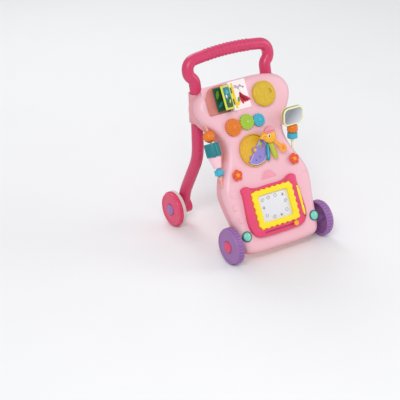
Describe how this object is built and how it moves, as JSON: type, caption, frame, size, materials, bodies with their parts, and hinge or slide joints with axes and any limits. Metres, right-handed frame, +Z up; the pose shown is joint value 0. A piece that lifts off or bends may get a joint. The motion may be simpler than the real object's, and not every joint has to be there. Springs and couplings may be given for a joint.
{
  "type": "baby walker",
  "caption": "Push-along baby walker with a leaning hourglass body, an activity panel of turning and pressing toys, a drawing board, a looped handle and wheels.",
  "frame": {"origin": "on the floor, at the middle of the box that bounds the whole walker", "axes": "+Z up, -Y towards the side that the activity panel faces, +X to the right of the panel"},
  "size_m": [0.294, 0.348, 0.4698],
  "materials": {
    "body_pink": "satin moulded",
    "hot_pink": "gloss moulded",
    "purple": "satin moulded",
    "lavender": "gloss moulded",
    "tyre_grip": "matt rubber",
    "steel": "drawn bar",
    "screw_steel": "zinc plated",
    "spring_steel": "wire",
    "cell_jacket": "printed sleeve",
    "board_green": "solder mask",
    "speaker_black": "paper cone and steel basket",
    "switch_red": "gloss moulded",
    "book_yellow": "gloss moulded",
    "page_green": "gloss moulded",
    "page_yellow": "gloss moulded",
    "dial_yellow": "gloss moulded",
    "orange": "gloss moulded",
    "green": "gloss moulded",
    "blue": "gloss moulded",
    "teal": "gloss moulded",
    "olive": "gloss moulded",
    "pin_brown": "gloss moulded",
    "disc_yellow": "gloss moulded",
    "disc_purple": "gloss moulded",
    "hub_pink": "gloss moulded",
    "flower_red": "gloss moulded",
    "pale_pink": "gloss moulded",
    "lime": "gloss moulded",
    "cream": "gloss moulded",
    "mirror_foil": "silvered acrylic",
    "bezel_yellow": "gloss moulded",
    "screen_white": "frosted sheet",
    "knob_orange": "gloss moulded",
    "mint": "translucent moulded"
  },
  "bodies": {
    "case": {"front_shell": "body_pink", "rear_shell": "body_pink", "battery_door": "body_pink", "battery_cells": "cell_jacket", "battery_contacts": "spring_steel", "circuit_board": "board_green", "speaker": "speaker_black", "case_screws": "screw_steel", "handle": "hot_pink", "left_rear_leg": "hot_pink", "right_rear_leg": "hot_pink", "frame_screws": "screw_steel", "front_axle": "steel", "rear_axles": "steel", "book_base": "book_yellow", "book_pin": "steel", "panel_pins": "pin_brown", "picture_disc": "disc_yellow", "key_hub": "hub_pink", "roller_rod": "lime", "mirror_stem": "cream", "board_frame": "hot_pink", "board_bezel": "bezel_yellow", "board_screen": "screen_white", "headlights": "mint", "left_button_spring": "spring_steel", "right_button_spring": "spring_steel"},
    "front_left_wheel": {"front_left_wheel": "purple", "front_left_hub_cap": "hot_pink"},
    "front_right_wheel": {"front_right_wheel": "purple", "front_right_hub_cap": "hot_pink"},
    "rear_left_wheel": {"rear_left_wheel": "hot_pink", "rear_left_hub_cap": "lavender", "rear_left_grip_ring": "tyre_grip"},
    "rear_right_wheel": {"rear_right_wheel": "hot_pink", "rear_right_hub_cap": "lavender", "rear_right_grip_ring": "tyre_grip"},
    "power_switch": {"power_switch": "switch_red"},
    "book_back_page": {"book_back_page": "page_green"},
    "book_front_page": {"book_front_page": "page_yellow"},
    "dial": {"dial": "dial_yellow"},
    "orange_gear": {"orange_gear": "orange"},
    "green_gear": {"green_gear": "green"},
    "blue_gear": {"blue_gear": "blue"},
    "disc_cover": {"disc_cover": "disc_purple"},
    "teal_key": {"teal_key": "teal"},
    "olive_key": {"olive_key": "olive"},
    "orange_key": {"orange_key": "orange"},
    "left_flower_button": {"left_flower_button": "flower_red"},
    "right_flower_button": {"right_flower_button": "flower_red"},
    "orange_ball": {"orange_ball": "orange"},
    "teal_drum": {"teal_drum": "teal"},
    "pink_cone": {"pink_cone": "pale_pink"},
    "blue_bead": {"blue_bead": "blue"},
    "mirror": {"mirror_frame": "cream", "mirror_sheet": "mirror_foil"},
    "mirror_orange_bead": {"mirror_orange_bead": "orange"},
    "mirror_blue_bead": {"mirror_blue_bead": "blue"},
    "eraser_knob": {"eraser_knob": "knob_orange"},
    "drawing_pen": {"drawing_pen": "bezel_yellow"}
  },
  "joints": [
    {"name": "front_left_wheel_spin", "type": "hinge", "parent": "case", "child": "front_left_wheel", "pos_m": [-0.1325, -0.129, 0.045], "axis": [1, 0, 0], "continuous": true},
    {"name": "front_right_wheel_spin", "type": "hinge", "parent": "case", "child": "front_right_wheel", "pos_m": [0.1325, -0.129, 0.045], "axis": [1, 0, 0], "continuous": true},
    {"name": "rear_left_wheel_spin", "type": "hinge", "parent": "case", "child": "rear_left_wheel", "pos_m": [-0.1325, 0.129, 0.045], "axis": [1, 0, 0], "continuous": true},
    {"name": "rear_right_wheel_spin", "type": "hinge", "parent": "case", "child": "rear_right_wheel", "pos_m": [0.1325, 0.129, 0.045], "axis": [1, 0, 0], "continuous": true},
    {"name": "front_page_turn", "type": "hinge", "parent": "case", "child": "book_front_page", "pos_m": [-0.042, -0.00875, 0.36797], "axis": [0, 0.4384, 0.8988], "range_deg": [0, 146]},
    {"name": "back_page_turn", "type": "hinge", "parent": "case", "child": "book_back_page", "pos_m": [-0.042, -0.00875, 0.36797], "axis": [0, 0.4384, 0.8988], "range_deg": [0, 167]},
    {"name": "dial_spin", "type": "hinge", "parent": "case", "child": "dial", "pos_m": [0.049, -0.0131, 0.35563], "axis": [0, -0.8988, 0.4384], "continuous": true},
    {"name": "orange_gear_spin", "type": "hinge", "parent": "case", "child": "orange_gear", "pos_m": [-0.058, -0.03762, 0.30194], "axis": [0, -0.8988, 0.4384], "continuous": true},
    {"name": "green_gear_spin", "type": "hinge", "parent": "case", "child": "green_gear", "pos_m": [-0.01822, -0.03578, 0.3057], "axis": [0, -0.8988, 0.4384], "continuous": true},
    {"name": "blue_gear_spin", "type": "hinge", "parent": "case", "child": "blue_gear", "pos_m": [0.0159, -0.03709, 0.30302], "axis": [0, -0.8988, 0.4384], "continuous": true},
    {"name": "disc_cover_spin", "type": "hinge", "parent": "case", "child": "disc_cover", "pos_m": [-0.018, -0.06682, 0.24275], "axis": [0, -0.8988, 0.4384], "continuous": true},
    {"name": "teal_key_swing", "type": "hinge", "parent": "case", "child": "teal_key", "pos_m": [0.025, -0.05963, 0.26707], "axis": [0, -0.8988, 0.4384], "range_deg": [-30, 30]},
    {"name": "olive_key_swing", "type": "hinge", "parent": "case", "child": "olive_key", "pos_m": [0.025, -0.06233, 0.26838], "axis": [0, -0.8988, 0.4384], "range_deg": [-30, 30]},
    {"name": "orange_key_swing", "type": "hinge", "parent": "case", "child": "orange_key", "pos_m": [0.025, -0.06502, 0.2697], "axis": [0, -0.8988, 0.4384], "range_deg": [-40, 20]},
    {"name": "left_flower_press", "type": "slide", "parent": "case", "child": "left_flower_button", "axis": [0, 0.8988, -0.4384], "range_m": [0, 0.003], "stiffness_N_per_m": 400, "springref_m": -0.002, "deforming": ["left_button_spring"]},
    {"name": "right_flower_press", "type": "slide", "parent": "case", "child": "right_flower_button", "axis": [0, 0.8988, -0.4384], "range_m": [0, 0.003], "stiffness_N_per_m": 400, "springref_m": -0.002, "deforming": ["right_button_spring"]},
    {"name": "orange_ball_spin", "type": "hinge", "parent": "case", "child": "orange_ball", "pos_m": [-0.118, -0.02294, 0.28755], "axis": [0, 0.4384, 0.8988], "continuous": true},
    {"name": "teal_drum_spin", "type": "hinge", "parent": "case", "child": "teal_drum", "pos_m": [-0.118, -0.03719, 0.25834], "axis": [0, 0.4384, 0.8988], "continuous": true},
    {"name": "pink_cone_spin", "type": "hinge", "parent": "case", "child": "pink_cone", "pos_m": [-0.118, -0.05077, 0.23048], "axis": [0, 0.4384, 0.8988], "continuous": true},
    {"name": "blue_bead_spin", "type": "hinge", "parent": "case", "child": "blue_bead", "pos_m": [-0.118, -0.06173, 0.20801], "axis": [0, 0.4384, 0.8988], "continuous": true},
    {"name": "mirror_swivel", "type": "hinge", "parent": "case", "child": "mirror", "pos_m": [0.101, -0.0569, 0.29987], "axis": [0, 0, 1], "range_deg": [-8, 35]},
    {"name": "mirror_orange_bead_spin", "type": "hinge", "parent": "case", "child": "mirror_orange_bead", "pos_m": [0.101, -0.0569, 0.26662], "axis": [0, 0, 1], "continuous": true},
    {"name": "mirror_blue_bead_spin", "type": "hinge", "parent": "case", "child": "mirror_blue_bead", "pos_m": [0.101, -0.0569, 0.24887], "axis": [0, 0, 1], "continuous": true},
    {"name": "eraser_slide", "type": "slide", "parent": "case", "child": "eraser_knob", "axis": [1, 0, 0], "range_m": [-0.088, 0]},
    {"name": "pen_lift", "type": "slide", "parent": "case", "child": "drawing_pen", "axis": [0, -0.8988, 0.4384], "range_m": [0, 0.06]},
    {"name": "switch_slide", "type": "slide", "parent": "case", "child": "power_switch", "axis": [-1, 0, 0], "range_m": [0, 0.008]}
  ],
  "couplings": [
    {"joint": "back_page_turn", "follows": "front_page_turn", "ratio": 1.14},
    {"joint": "green_gear_spin", "follows": "orange_gear_spin", "ratio": -1.125},
    {"joint": "blue_gear_spin", "follows": "orange_gear_spin", "ratio": 1.3846}
  ]
}
